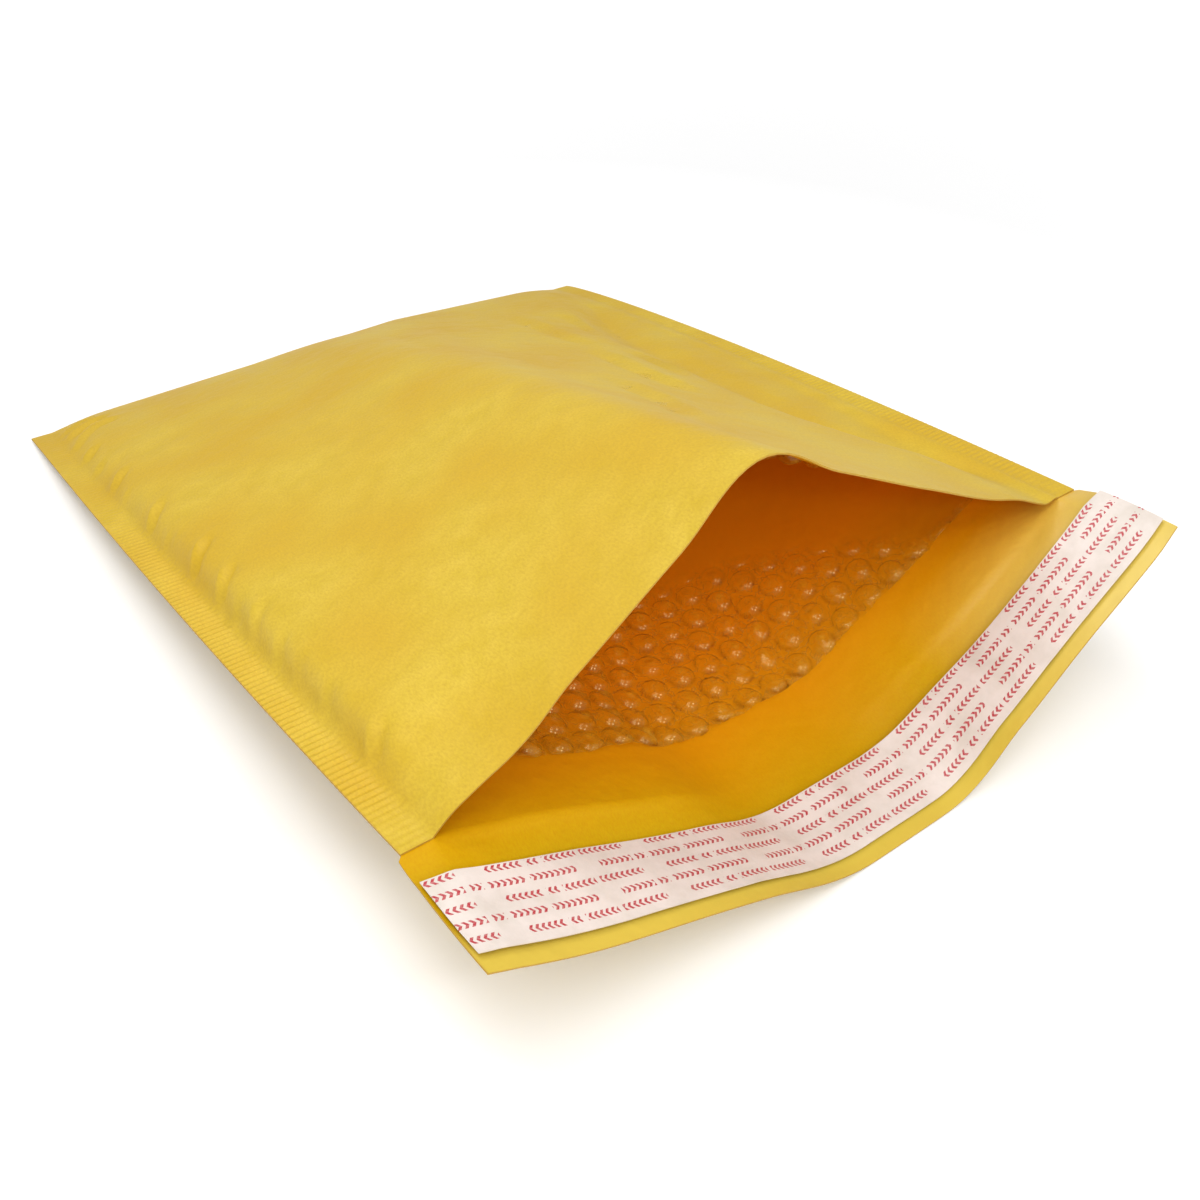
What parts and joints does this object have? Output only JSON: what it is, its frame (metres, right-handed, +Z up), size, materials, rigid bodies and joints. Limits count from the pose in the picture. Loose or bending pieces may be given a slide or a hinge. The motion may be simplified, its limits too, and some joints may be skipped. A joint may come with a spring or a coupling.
{
  "type": "padded envelope",
  "caption": "Kraft padded mailer lying with its mouth held open: folded paper web, bubble film lining and a sealing flap under a release liner.",
  "frame": {"origin": "on the table under the middle of the lying bag", "axes": "+Z up from the table, +Y towards the closed far fold, +X across the bag, with the open mouth and the flap towards -Y"},
  "size_m": [0.2902, 0.3824, 0.1145],
  "materials": {
    "kraft": "satin golden kraft paper with fine fibre",
    "film": "clear glossy polythene bubble film",
    "adhesive": "tacky hot-melt strip",
    "liner": "silicone-coated white paper with small red marks"
  },
  "bodies": {
    "root": {"kraft_envelope": "kraft", "bubble_lining": "film", "adhesive_strip": "adhesive", "release_liner": "liner"}
  },
  "joints": []
}
